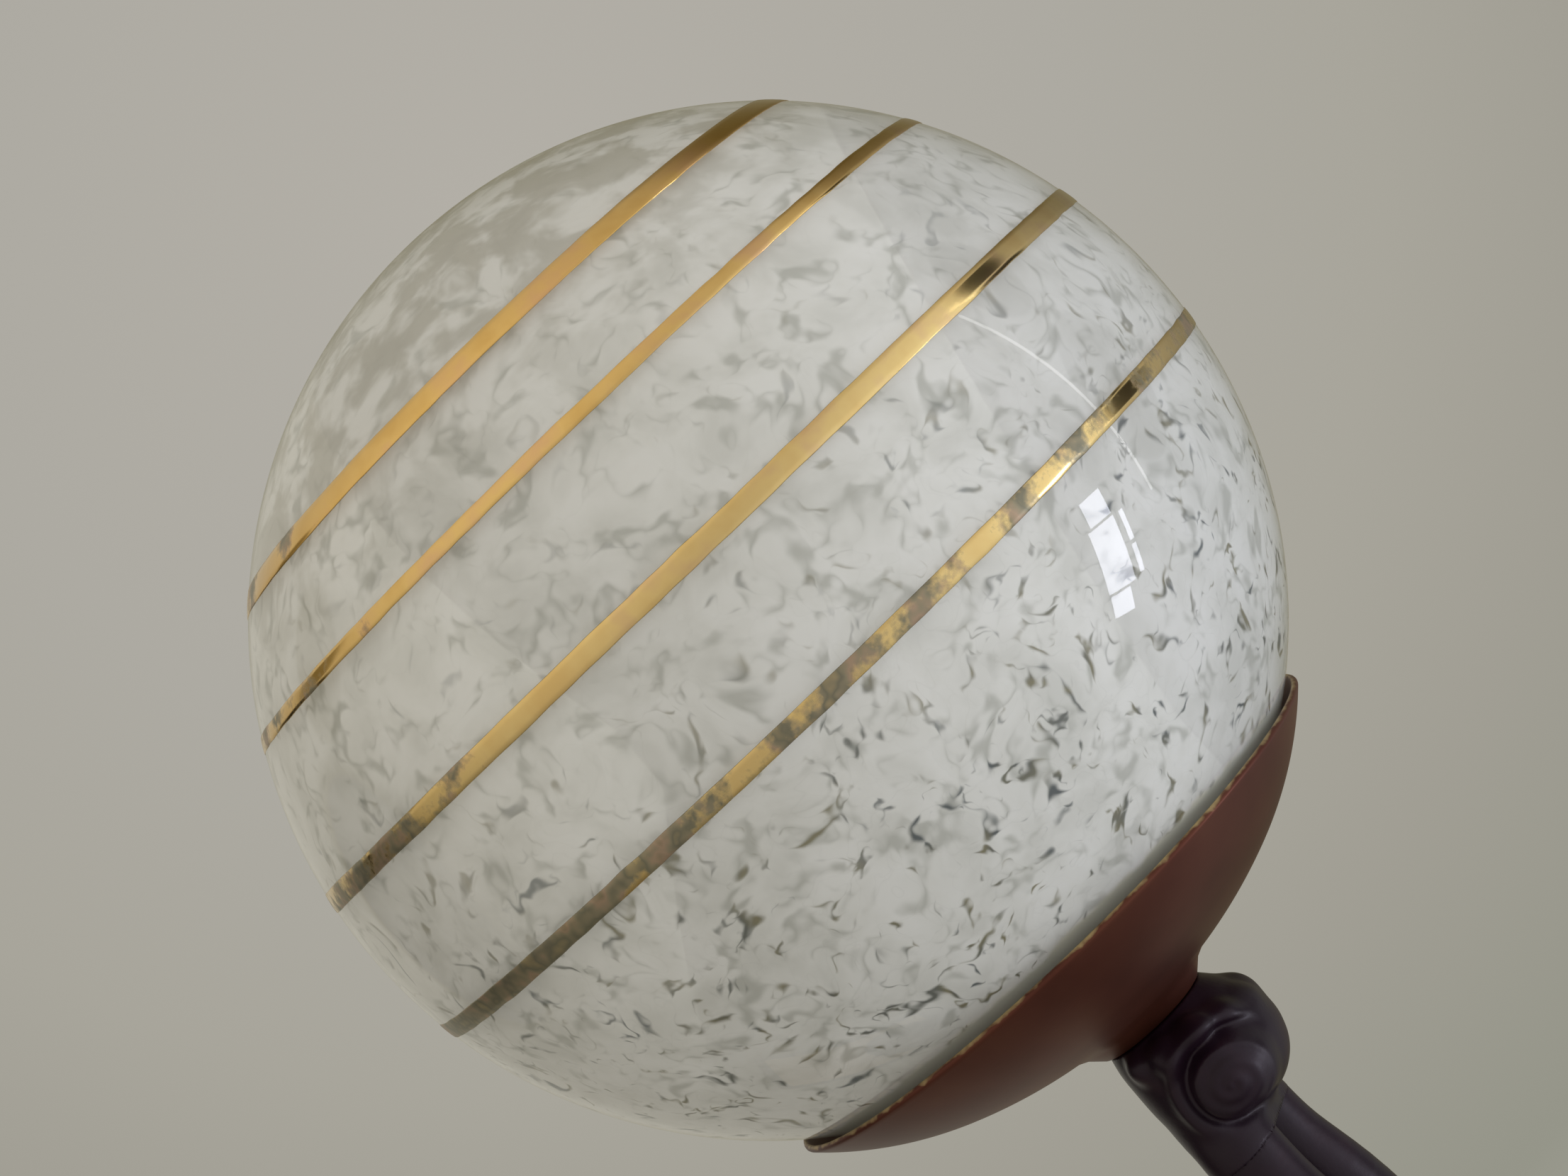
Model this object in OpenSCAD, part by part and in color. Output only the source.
// Table lamp: a cast figure in a long pleated gown lifts a glass globe on a spun dish.
// The origin is the centre of the base's underside, +Z is up, and the figure faces -X.
// The lamp head is drawn about its own axis: z = 0 is the seat on top of the hands.

/* [Base] */
// Length of the lower stone slab, front to back
slab_l = 224; // [200:1:260]
// Width of the lower stone slab
slab_w = 124; // [110:1:160]
// Thickness of the lower stone slab
slab_t = 28; // [24:1:40]
// Margin by which the upper step is smaller on each side
step_inset = 12; // [6:1:14]
// Thickness of the upper step
step_t = 12; // [8:1:20]
// Corner radius of slab and step
corner_r = 5; // [2:0.5:10]
// Thickness of the felt under the slab
pad_t = 1.5; // [1:0.5:3]
// Depth of the wiring recess in the underside of the slab
recess_d = 20; // [18:0.5:22]
// Stone left behind the wiring recess, which the inlet and the switch go through
back_wall = 28; // [24:1:32]
// Distance of the figure's tie rod behind the centre of the base
rod_x = 46; // [42:1:50]

/* [Figure] */
// Height of the gown above the base, hem to waist
gown_h = 245; // [225:1:265]
// Height of the bodice, waist to the root of the neck
bodice_h = 98; // [90:1:106]
// Wall of the hollow castings
cast_wall = 4; // [3:0.5:5]
// Floor of the gown, threaded for the tie rod
gown_floor = 6; // [5:0.5:9]
// Number of pleats round the gown
pleats = 16; // [12:1:20]
// Depth of the pleats at the hem
pleat_depth = 2.6; // [1:0.2:3.4]
// Height of the middle of the head above the root of the neck
neck_l = 34; // [31:1:37]
// Height of the head, chin to crown
head_h = 54; // [48:1:60]
// Backward tilt of the head
head_tilt = 24; // [10:1:32]
// Half the distance between the shoulder joints
shoulder_y = 31; // [29:0.5:34]

/* [Raised arms] */
// Distance of the seat on the hands in front of the centre of the base
seat_x = 50; // [40:1:60]
// Height of the seat above the base's underside
seat_z = 477; // [465:1:490]
// Lean of the lamp head from upright, towards the front
lean = 46; // [42:1:50]
// Radius of the wrists
wrist_r = 6; // [5.6:0.1:6.6]
// Half the distance between the wrists
wrist_y = 6.9; // [6.7:0.1:7.6]

/* [Globe] */
// Outside diameter of the blown globe
globe_d = 150; // [140:1:170]
// Thickness of the glass
globe_wall = 3; // [2:0.5:4]
// Diameter of the ground opening
opening_d = 60; // [54:0.5:64]
// Thickness of the gilded bands
gilt_t = 0.15; // [0.1:0.05:0.3]
// Height of each band above the globe's middle, along the lamp axis
band_at = [53.2, 37.2, 14.3, -10.1];
// Width of each band
band_w = [4.1, 2.4, 3.2, 2.9];

/* [Dish] */
// Diameter of the dish at its rim
dish_d = 99; // [90:1:108]
// Wall of the dish
dish_wall = 1; // [0.8:0.1:1.6]
// Space between the globe and the dish
dish_gap = 2.1; // [1.6:0.1:3]
// Depth of the raised seat under the dish
nub_h = 2.5; // [2:0.1:4]
// Radius of the flat of that seat
nub_r = 9; // [8:0.5:11]
// Distance by which the rim is drawn in towards the globe
lip_in = 1.2; // [0.6:0.1:1.4]
// Thickness of the sprung gallery's sheet
spring_t = 0.8; // [0.5:0.1:1]
// Width of each gallery leg
leg_w = 8; // [6:0.5:12]

/* [Lamp holder and bulb] */
// Radius of the threaded tubes
tube_r = 5; // [4.5:0.1:5.5]
// Bore radius of the threaded tubes
tube_bore_r = 3.6; // [3.2:0.1:4]
// Outside radius of the lamp holder
holder_r = 13; // [12.5:0.25:14]
// Wall of the lamp holder's shells
holder_wall = 1.2; // [0.8:0.1:1.6]
// Radius of the bulb's screw cap
cap_r = 6.9; // [6.8:0.05:7]
// Radius of the bulb
bulb_r = 22.5; // [20:0.5:23]
// Length of the bulb with its cap
bulb_l = 78; // [74:1:82]

/* [Cable, inlet and switch] */
// Diameter of the inner flex
flex_d = 3.2; // [2.8:0.1:3.6]
// Bore radius of the cable inlet
inlet_r = 4; // [3:0.25:4.5]
// Radius of the switch barrel
switch_r = 6; // [5:0.5:7]
// Travel of the push button
press = 3; // [2:0.5:4]

/* [Hidden] */
$fn = 96;
fit = 0.1;
gap = 0.3;
film_gap = 0.02;
bronze = "#33262f";
copper = "#6e3c2c";
gold = "#c9a14a";
brass = "#b8934e";
stone_dark = "#2c2a2b";
stone_light = "#a39a8c";

base_top = pad_t + slab_t + step_t;
slab_z = pad_t;
step_z = pad_t + slab_t;
recess_top = pad_t + recess_d;
waist_z = base_top + gown_h;
neck_z = waist_z + bodice_h;
seat = [-seat_x, 0, seat_z];
globe_r = globe_d / 2;
dish_r = globe_r + dish_gap + dish_wall;
globe_z = dish_r + nub_h;
opening_r = opening_d / 2;
globe_foot = globe_z - sqrt(globe_r * globe_r - opening_r * opening_r);

function unit(v) = v / norm(v);
function mean(points) = [for (k = [0:2]) [for (p = points) p[k]] * [for (p = points) 1] / len(points)];
// A smooth curve through the points, with k steps between neighbours
function spline(points, k) = let(n = len(points)) [
    for (i = [0:n - 2], j = [0:(i == n - 2 ? k : k - 1)])
        let(a = points[max(i - 1, 0)], b = points[i], c = points[i + 1], d = points[min(i + 2, n - 1)],
            t = j / k, cubic = 3 * b - a - 3 * c + d, square = 2 * a - 5 * b + 4 * c - d)
        b + t * (c - a) / 2 + t * t * square / 2 + t * t * t * cubic / 2
];
// A ring of n points round c, square to the direction d, with half sizes a and b
function ring(c, d, a, b, n) = let(t = unit(d), u = unit(cross([0, 1, 0], t)), v = cross(t, u)) [
    for (i = [0:n - 1]) c + a * cos(360 * i / n) * u + b * sin(360 * i / n) * v
];
function along(points, i) = points[min(i + 1, len(points) - 1)] - points[max(i - 1, 0)];

// A closed skin over rings of equally many points, from the first ring to the last
module skin(rings) {
    n = len(rings[0]);
    m = len(rings);
    corners = concat([for (r = rings) each r], [mean(rings[0]), mean(rings[m - 1])]);
    walls = [for (j = [0:m - 2], i = [0:n - 1])
        let(a = j * n + i, b = j * n + (i + 1) % n) each [[a, b + n, b], [a, a + n, b + n]]];
    foot = [for (i = [0:n - 1]) [m * n, i, (i + 1) % n]];
    top = [for (i = [0:n - 1]) [m * n + 1, (m - 1) * n + (i + 1) % n, (m - 1) * n + i]];
    polyhedron(corners, concat(walls, foot, top), convexity = 6);
}

module tube(points, r, n) {
    skin([for (i = [0:len(points) - 1]) ring(points[i], along(points, i), r, r, n)]);
}

module round_slab(l, w, h, r) {
    translate([r - l / 2, -w / 2, 0]) cube([l - 2 * r, w, h]);
    translate([-l / 2, r - w / 2, 0]) cube([l, w - 2 * r, h]);
    for (x = [-1, 1], y = [-1, 1]) translate([x * (l / 2 - r), y * (w / 2 - r), 0]) cylinder(h = h, r = r);
}

module lamp_axis() {
    translate(seat) rotate([0, -lean, 0]) children();
}
// A point given in the lamp head's own axes, moved to the lamp's
function from_lamp(p) = seat + [p.x * cos(lean) - p.z * sin(lean), p.y, p.x * sin(lean) + p.z * cos(lean)];

module pipe(z1, z2, r_out, r_in) {
    translate([0, 0, z1]) difference() {
        cylinder(h = z2 - z1, r = r_out);
        translate([0, 0, -1]) cylinder(h = z2 - z1 + 2, r = r_in);
    }
}

// Base
rear = slab_l / 2;
recess_l = 112;
recess_w = 90;
recess_back = rear - back_wall;
recess_x = recess_back - recess_l / 2;
inlet_z = pad_t + recess_d / 2;
switch_y = -30;
bush_out = 2;
washer_t = 1.5;
nut_t = 4;

module base_pad() {
    color("#23352b") round_slab(slab_l - 4, slab_w - 4, pad_t, corner_r - 1);
}

module base_slab() {
    color(stone_dark) difference() {
        translate([0, 0, slab_z]) round_slab(slab_l, slab_w, slab_t, corner_r);
        translate([recess_x - recess_l / 2, -recess_w / 2, slab_z - 1])
            cube([recess_l, recess_w, recess_d + 1]);
        translate([rod_x, 0, slab_z]) cylinder(h = slab_t + 1, r = tube_r + fit);
        translate([recess_back - 5, 0, inlet_z]) rotate([0, 90, 0])
            cylinder(h = slab_l, r = inlet_r + 2 + fit);
        translate([recess_back - 5, switch_y, inlet_z]) rotate([0, 90, 0])
            cylinder(h = slab_l, r = switch_r + fit);
    }
}

module base_step() {
    color(stone_light) difference() {
        translate([0, 0, step_z])
            round_slab(slab_l - 2 * step_inset, slab_w - 2 * step_inset, step_t, corner_r);
        translate([rod_x, 0, step_z - 1]) cylinder(h = step_t + 2, r = tube_r + fit);
    }
}

module tie_rod() {
    color(brass) translate([rod_x, 0, 0])
        pipe(recess_top - washer_t - nut_t, base_top + gown_floor, tube_r, tube_bore_r);
}

module tie_washer() {
    color("silver") translate([rod_x, 0, 0])
        pipe(recess_top - washer_t, recess_top, tube_r + 5, tube_r + fit);
}

module hex_nut(z, t, r) {
    translate([0, 0, z]) difference() {
        cylinder(h = t, r = r + 4.2, $fn = 6);
        translate([0, 0, -1]) cylinder(h = t + 2, r = r + fit);
    }
}

module tie_nut() {
    color(brass) translate([rod_x, 0, 0]) hex_nut(recess_top - washer_t - nut_t, nut_t, tube_r);
}

module cable_bush() {
    color("#1d1a19") translate([0, 0, inlet_z]) rotate([0, 90, 0]) {
        pipe(recess_back - 6, rear + bush_out, inlet_r + 2, inlet_r);
        pipe(rear, rear + bush_out, inlet_r + 5, inlet_r);
    }
}

module bush_nut() {
    color("#1d1a19") translate([0, 0, inlet_z]) rotate([0, 90, 0])
        pipe(recess_back - 4, recess_back, inlet_r + 4, inlet_r + 2 + fit);
}

button_r = switch_r - 2;
button_depth = 10;
button_out = 6;
module switch_body() {
    color("#1d1a19") translate([0, switch_y, inlet_z]) rotate([0, 90, 0]) {
        pipe(rear - button_depth, rear + 2, switch_r, button_r + fit);
        translate([0, 0, recess_back - 14])
            cylinder(h = rear - button_depth - recess_back + 14, r = switch_r);
    }
}

module switch_ring() {
    color(brass) translate([0, switch_y, inlet_z]) rotate([0, 90, 0])
        pipe(rear, rear + 2, switch_r + 3, switch_r + fit);
}

module switch_button() {
    foot = press + gap - button_depth;
    color(brass) translate([rear + foot, switch_y, inlet_z]) rotate([0, 90, 0])
        cylinder(h = button_out - foot, r = button_r);
}

block_x = 8;
block_l = 22;
block_h = 8;
block_z = recess_top - block_h;
flex_z = block_z + 4;
module terminal_block() {
    color("ivory") difference() {
        translate([block_x - block_l / 2, -9, block_z]) cube([block_l, 18, block_h]);
        for (y = [-4.5, 4.5]) {
            translate([block_x - block_l, y, flex_z]) rotate([0, 90, 0]) cylinder(h = 2 * block_l, r = 1.6);
            for (x = [-6, 6]) translate([block_x + x, y, block_z - 1]) cylinder(h = 5, r = 1.5);
        }
    }
}

// Figure: each row is height as a share of the part, centre x, half depth and half width
gown_rows = [[0, 52, 46, 43], [0.04, 49, 40, 40], [0.1, 45.5, 34.5, 36.5], [0.2, 41.5, 29.5, 33],
    [0.35, 38, 26.5, 30.5], [0.5, 36.5, 25.5, 30.5], [0.65, 36.5, 26, 33.5], [0.78, 38, 26.5, 36.5],
    [0.88, 40, 23, 32.5], [1, 43.5, 18.5, 25.5]];
bodice_rows = [[0, 43.5, 18.5, 25.5], [0.2, 46.5, 19.5, 26.5], [0.42, 51.5, 22, 29], [0.6, 55.5, 22.5, 32],
    [0.76, 59.5, 18.5, 34], [0.86, 62, 15, 29], [0.94, 64, 11.5, 16.5], [1, 65, 10.5, 11]];
// How deep the pleats are at a height, from full at the hem to nothing at the hip
function pleat(s) = pleat_depth * (s < 0.72 ? pow(1 - s / 0.72, 1.3) : 0);
// Two rounded forms on the front of the bodice
function bust(s, q) = 4.2 * exp(-pow((s - 0.5) / 0.13, 2)) * (exp(-pow((abs(180 - q) - 36) / 20, 2)));

function gown_ring(row, inset, n) = [for (i = [0:n - 1]) let(q = 360 * i / n,
    fold = (inset > 0 ? 0 : pleat(row[0]) * cos(pleats * q)))
    [row[1] + (row[2] - inset + fold) * cos(q), (row[3] - inset + fold) * sin(q),
        base_top + gown_h * row[0]]];
function bodice_ring(row, inset, n) = [for (i = [0:n - 1])
    let(q = 360 * i / n, lift = (inset > 0 ? 0 : bust(row[0], q)))
    [row[1] + (row[2] - inset + lift) * cos(q), (row[3] - inset + lift) * sin(q),
        waist_z + bodice_h * row[0]]];

module gown() {
    rows = spline(gown_rows, 2);
    hollow = [for (r = gown_rows) if (r[0] > 0.02) r];
    low = [for (p = gown_ring(hollow[0], cast_wall + pleat_depth, 24)) [p.x, p.y, base_top + gown_floor]];
    middle = [for (r = hollow) if (r[0] > 0.05) gown_ring(r, cast_wall + pleat(r[0]), 24)];
    high = [for (p = gown_ring(gown_rows[len(gown_rows) - 1], cast_wall, 24)) p + [0, 0, 1]];
    inside = concat([low], middle, [high]);
    color(bronze) difference() {
        skin([for (r = rows) gown_ring(r, 0, 64)]);
        skin(inside);
        translate([rod_x, 0, base_top - 1]) cylinder(h = gown_floor + 2, r = tube_r + 0.05);
    }
}

module bodice_form() {
    skin([for (r = spline(bodice_rows, 2)) bodice_ring(r, 0, 32)]);
}

module bodice() {
    low = [for (r = bodice_rows) if (r[0] < 0.8) r];
    color(bronze) difference() {
        bodice_form();
        skin(concat([[for (p = bodice_ring(low[0], cast_wall, 20)) p - [0, 0, 1]]],
            [for (r = low) bodice_ring(r, cast_wall, 20)]));
        flex_way();
    }
}

// Head: each row is height as a share of the half head, then front, back and half width as shares of the head
head_rows = [[-1, 0.24, 0.04, 0.07], [-0.86, 0.36, 0.1, 0.19], [-0.6, 0.395, 0.22, 0.26],
    [-0.3, 0.395, 0.34, 0.32], [0, 0.395, 0.41, 0.355], [0.3, 0.405, 0.44, 0.37],
    [0.6, 0.385, 0.43, 0.355], [0.82, 0.28, 0.34, 0.27], [0.96, 0.12, 0.17, 0.13], [1, 0.04, 0.06, 0.05]];
hair_rows = [[-0.62, 0.02, 0.3, 0.27], [-0.5, 0.08, 0.38, 0.34], [-0.2, 0.14, 0.44, 0.385],
    [0.15, 0.22, 0.48, 0.405], [0.4, 0.35, 0.49, 0.41], [0.62, 0.415, 0.47, 0.395],
    [0.84, 0.32, 0.38, 0.31], [1, 0.17, 0.23, 0.18], [1.06, 0.06, 0.09, 0.07]];
function nose(z, q) = 0.085 * exp(-pow((z + 0.22) / 0.17, 2)) * exp(-pow((180 - q) / 11, 2));
function head_ring(row, n) = head_h * [for (i = [0:n - 1]) let(q = 360 * i / n)
    [(q > 90 && q < 270 ? row[1] : row[2]) * cos(q) - nose(row[0], q), row[3] * sin(q), row[0] / 2]];

neck_root = bodice_rows[len(bodice_rows) - 1];
neck_x = neck_root[1];
head_at = [neck_x + 1, 0, neck_z + neck_l];
module head() {
    neck = [for (p = [[0, 0], [-0.5, 0.15], [-0.5, 0.35], [1, 0.76]])
        [neck_x + p[0], 0, neck_z + p[1] * neck_l]];
    color(bronze) {
        translate(head_at) rotate([0, head_tilt, 0]) {
            skin([for (r = spline(head_rows, 2)) head_ring(r, 32)]);
            skin([for (r = spline(hair_rows, 2)) head_ring(r, 32)]);
        }
        skin([for (i = [0:3]) ring(neck[i], [0, 0, 1], neck_root[2] - i / 2, neck_root[3] - i, 24)]);
    }
}

// Arms: each row is [x, y, z] on the lamp head's axes for the left arm, and the radius
wrist_z = -22;
shoulder = [bodice_rows[5][1] - 2, shoulder_y, waist_z + bodice_h * 0.83];
arm_rows = [[-1.3, wrist_y, wrist_z, wrist_r], [-1.2, wrist_y + 0.6, wrist_z - 7, wrist_r],
    [-0.4, 9.6, -42, wrist_r + 0.4], [-3, 15, -62, wrist_r + 1.7], [-5.2, 20, -80, wrist_r + 2],
    [-6, 23, -93, wrist_r + 1.4], [-4.5, 26, -112, wrist_r + 2.6], [-3.5, 29.5, -134, wrist_r + 3.6]];
shoulder_r = wrist_r + 4.6;
// The arm's own path runs from the rounded shoulder to the wrist
arm_heads = [for (i = [len(arm_rows) - 1:-1:0]) let(r = arm_rows[i], p = from_lamp(r)) [p.x, p.y, p.z, r[3]]];
back = unit(shoulder - [arm_heads[0].x, arm_heads[0].y, arm_heads[0].z]);
function behind(share) = let(p = shoulder + shoulder_r * share * back)
    [p.x, p.y, p.z, shoulder_r * sqrt(1 - share * share)];
arm_points = concat([behind(0.97), behind(0.72), behind(0)], arm_heads);
function arm_line(k) = spline(arm_points, k);

module arm() {
    line = arm_line(2);
    spots = [for (p = line) [p.x, p.y, p.z]];
    last = len(line) - 1;
    difference() {
        skin([for (i = [0:last]) ring(spots[i], i > last - 2 ? [-sin(lean), 0, cos(lean)] : along(spots, i),
            line[i][3], line[i][3], 20)]);
        bodice_form();
    }
}

module left_arm() {
    color(bronze) mirror([0, 1, 0]) arm();
}

module right_arm() {
    color(bronze) difference() {
        arm();
        flex_way();
    }
}

// Hands: each row is z on the lamp axis, centre x, half depth and half width
hand_rows = [[wrist_z, -1.3, wrist_r + 0.1, wrist_y + wrist_r], [-18, -1.4, 7.4, 12.6],
    [-15.4, 0.1, 9.2, 12.7], [-12.7, 1.5, 10.6, 12.8], [-10, 2.1, 11.3, 12.8],
    [-6.5, 2.5, 11.6, 12.5], [-3, 1.7, 11.2, 11.6], [0, 0.7, 10.1, 10]];
knuckles = [[-2, -9.5, -2.8, 2.6], [2.5, -10.6, -3.6, 3.1], [6.8, -9.2, -4.2, 3.2], [10, -5.4, -5.4, 3.2],
    [10.8, 0, -6, 3.2], [10, 5.4, -5.4, 3.2]];
finger_disc = [7.6, -12.7];
finger_disc_r = 6.2;
hole_depth = 14;

module hands() {
    color(bronze) difference() {
        lamp_axis() difference() {
            union() {
                skin([for (r = hand_rows) ring([r[1], 0, r[0]], [0, 0, 1], r[2], r[3], 28)]);
                translate([finger_disc[0], -13.6, finger_disc[1]]) rotate([-90, 0, 0])
                    cylinder(h = 6, r1 = finger_disc_r - 0.8, r2 = finger_disc_r + 0.4, $fn = 24);
                for (k = knuckles) translate([k[0], k[1], k[2]]) sphere(r = k[3], $fn = 14);
            }
            translate([0, 0, -hole_depth]) cylinder(h = hole_depth + 5, r = tube_r + 0.05);
            cylinder(h = 20, r = 40);
        }
        flex_way();
    }
}

// Inner flex: from the terminal block through tie rod, gown, bodice, right arm and hands to the lamp holder
flex_floor = pad_t + 4;
flex_low = [[block_x + block_l / 2, 0, flex_z], [rod_x - 21, 0, flex_z - 2], [rod_x - 13, 0, flex_floor + 1],
    [rod_x - 7, 0, flex_floor], [rod_x - 2, 0, flex_floor + 3], [rod_x, 0, recess_top],
    [rod_x, 0, base_top], [rod_x, 0, base_top + 60], [45, 0, waist_z - 60], [46, 1, waist_z - 6],
    [50, 8, waist_z + bodice_h * 0.36], [56, 21, waist_z + bodice_h * 0.68]];
holder_z = 11;
core_z = holder_z + 9;
flex_head = [[-0.4, 4.4, -17.5], [0, 1.2, -12], [0, 0, -5], [0, 0, 4], [0, 0, core_z]];
flex_top = [for (p = flex_head) from_lamp(p)];
flex_arm = [for (p = arm_line(1)) if (p.y < shoulder_y - 1 && p.y > wrist_y + 0.1) [p.x, p.y, p.z]];
flex_points = spline(concat(flex_low, flex_arm, flex_top), 2);
module flex_way() {
    tube(flex_points, flex_d / 2 + 0.9, 10);
}

module inner_flex() {
    color("#b9a06a") tube(flex_points, flex_d / 2, 8);
}

// Dish: a shallow spun bowl that follows the globe, drawn in at the rim, with a raised seat below
rim_angle = asin(dish_d / 2 / (dish_r - lip_in));
nub_angle = asin((nub_r + 7) / dish_r);
// Radius of the dish about the globe's centre: constant, then drawn in over the last part
function dish_at(a, r) = r - lip_in * pow(max(0, (a - rim_angle * 0.6) / (rim_angle * 0.4)), 2);
function dish_curve(r) = [for (i = [0:14]) let(a = nub_angle + (rim_angle - nub_angle) * i / 14)
    [dish_at(a, r) * sin(a), globe_z - dish_at(a, r) * cos(a)]];

module dish() {
    outer = dish_curve(dish_r);
    inner = dish_curve(dish_r - dish_wall);
    seat_below = [[tube_r + fit, 0], [nub_r, 0], [nub_r + 2.5, outer[0].y * 0.55]];
    seat_above = [[nub_r + 1.5, dish_wall + outer[0].y * 0.6], [nub_r - 0.5, dish_wall],
        [tube_r + fit, dish_wall]];
    profile = concat(seat_below, outer, [for (i = [14:-1:0]) inner[i]], seat_above);
    color(copper) lamp_axis() rotate_extrude() polygon(profile);
}

module nipple() {
    color(brass) lamp_axis() pipe(2 - hole_depth, holder_z + 4, tube_r, tube_bore_r);
}

gallery_z = max(globe_z - sqrt(pow(dish_r - dish_wall, 2) - pow(opening_r - 6.5, 2)) + 0.2, dish_wall + 3);
module dish_spacer() {
    color(brass) lamp_axis() pipe(dish_wall, gallery_z, nub_r - 1.5, tube_r + fit);
}

module spring_gallery() {
    r = opening_r - 6.5;
    z = gallery_z;
    leg_r = opening_r - 0.4;
    leg = [[r - 3, z], [r, z], [leg_r - 1.6, globe_foot + 0.2], [leg_r, globe_foot + 3.2],
        [leg_r, globe_foot + 6.5], [leg_r - 1, globe_foot + 10.5], [leg_r - 3.6, globe_foot + 14]];
    inward = [[0, 1], [0, 1], [-0.8, 0.6], [-1, 0], [-1, 0], [-1, 0], [-1, 0]];
    strip = concat(leg, [for (i = [len(leg) - 1:-1:0]) leg[i] + spring_t * inward[i]]);
    color(brass) lamp_axis() {
        pipe(z, z + spring_t, r - 2, tube_r + fit);
        for (a = [90, 210, 330]) rotate([0, 0, a]) rotate([90, 0, 0])
            translate([0, 0, -leg_w / 2]) linear_extrude(leg_w) polygon(strip);
    }
}

module nipple_nut() {
    color(brass) lamp_axis() hex_nut(gallery_z + spring_t, holder_z - gallery_z - spring_t, tube_r);
}

module globe_gasket() {
    low = asin((opening_r + 2) / globe_r);
    high = asin((opening_r + 9) / globe_r);
    angles = [for (i = [0:6]) low + (high - low) * i / 6];
    below = [for (a = angles) (dish_at(a, dish_r) - dish_wall - fit) * [sin(a), -cos(a)]];
    above = [for (i = [6:-1:0]) (globe_r + gap) * [sin(angles[i]), -cos(angles[i])]];
    color("#8a6f4e") lamp_axis() translate([0, 0, globe_z]) rotate_extrude() polygon(concat(below, above));
}

// Lamp holder and bulb
cup_h = 16;
core_top = core_z + 27;
thread_r = cap_r + 0.1;
thread_z = core_z + 6;
module holder_cap() {
    r = holder_r - holder_wall;
    ledge = core_z - holder_z;
    profile = [[tube_r + 0.05, 0], [holder_r - 2, 0], [holder_r, 2], [holder_r, cup_h], [r, cup_h],
        [r, ledge], [r - 2.2, ledge], [r - 2.2, 4], [tube_r + 0.05, 4]];
    color("#1d1a19") lamp_axis() translate([0, 0, holder_z]) rotate_extrude() polygon(profile);
}

module holder_core() {
    color("ivory") lamp_axis() difference() {
        translate([0, 0, core_z]) cylinder(h = core_top - core_z, r = holder_r - holder_wall - fit);
        translate([0, 0, thread_z]) cylinder(h = core_top - thread_z + 1, r = thread_r + 0.35 + fit);
        translate([0, 0, core_z - 1]) cylinder(h = 8, r = 2 + fit);
    }
}

bulb_foot = thread_z + 1.8;
module holder_contact() {
    color(brass) lamp_axis() {
        translate([0, 0, core_z]) cylinder(h = thread_z - core_z, r = 2);
        translate([0, 0, thread_z]) cylinder(h = 0.6, r = 4);
        translate([0, 0, thread_z + 0.6]) cylinder(h = 0.9, r = 2.4);
    }
}

module holder_thread() {
    color(brass) lamp_axis() pipe(thread_z, core_top, thread_r + 0.35, thread_r);
}

module holder_sleeve() {
    r = holder_r - holder_wall;
    top = core_top - holder_z - cup_h;
    profile = [[r, 0], [holder_r, 0], [holder_r, top], [holder_r - 1.5, top + 1.5], [cap_r + 2.4, top + 1.5],
        [cap_r + 2.4, top], [r, top]];
    color("#1d1a19") lamp_axis() translate([0, 0, holder_z + cup_h]) rotate_extrude() polygon(profile);
}

cap_h = 20;
bulb_top = bulb_foot + bulb_l - 1;
bulb_z = bulb_top - bulb_r;
glass_z = bulb_foot + cap_h + 2;
module bulb_cap() {
    color("silver") lamp_axis() difference() {
        translate([0, 0, bulb_foot + 1]) cylinder(h = glass_z - bulb_foot - 1, r = cap_r);
        translate([0, 0, bulb_foot + 3]) cylinder(h = glass_z, r = cap_r - 0.4);
    }
}

module bulb_contact() {
    color(brass) lamp_axis() translate([0, 0, bulb_foot]) cylinder(h = 1, r1 = 1.6, r2 = 2.4);
}

module bulb_form(t) {
    neck = cap_r - t;
    r = bulb_r - t;
    start = asin(neck / r) + 16;
    polygon(concat([[0, glass_z], [neck, glass_z], [neck, glass_z + 3]],
        [for (a = [start:8:176]) [r * sin(a), bulb_z - r * cos(a)]], [[0, bulb_z + r]]));
}

module bulb_glass() {
    color("white") lamp_axis() rotate_extrude() difference() {
        bulb_form(0);
        bulb_form(0.8);
    }
}

// Globe and its gilded bands
module globe() {
    color("whitesmoke") lamp_axis() translate([0, 0, globe_z]) difference() {
        sphere(r = globe_r);
        sphere(r = globe_r - globe_wall);
        translate([0, 0, -globe_d]) cylinder(h = globe_d, r = opening_r);
    }
}

module gilt_bands() {
    color(gold) lamp_axis() translate([0, 0, globe_z]) intersection() {
        difference() {
            sphere(r = globe_r + film_gap + gilt_t);
            sphere(r = globe_r + film_gap);
        }
        for (i = [0:len(band_at) - 1])
            translate([0, 0, band_at[i] - band_w[i] / 2]) cylinder(h = band_w[i], r = globe_d);
    }
}

base_pad();
base_slab();
base_step();
tie_rod();
tie_washer();
tie_nut();
cable_bush();
bush_nut();
switch_body();
switch_ring();
switch_button();
terminal_block();
gown();
bodice();
head();
left_arm();
right_arm();
hands();
dish();
nipple();
dish_spacer();
spring_gallery();
nipple_nut();
globe_gasket();
holder_cap();
holder_core();
holder_contact();
holder_thread();
holder_sleeve();
bulb_cap();
bulb_glass();
bulb_contact();
globe();
gilt_bands();
inner_flex();
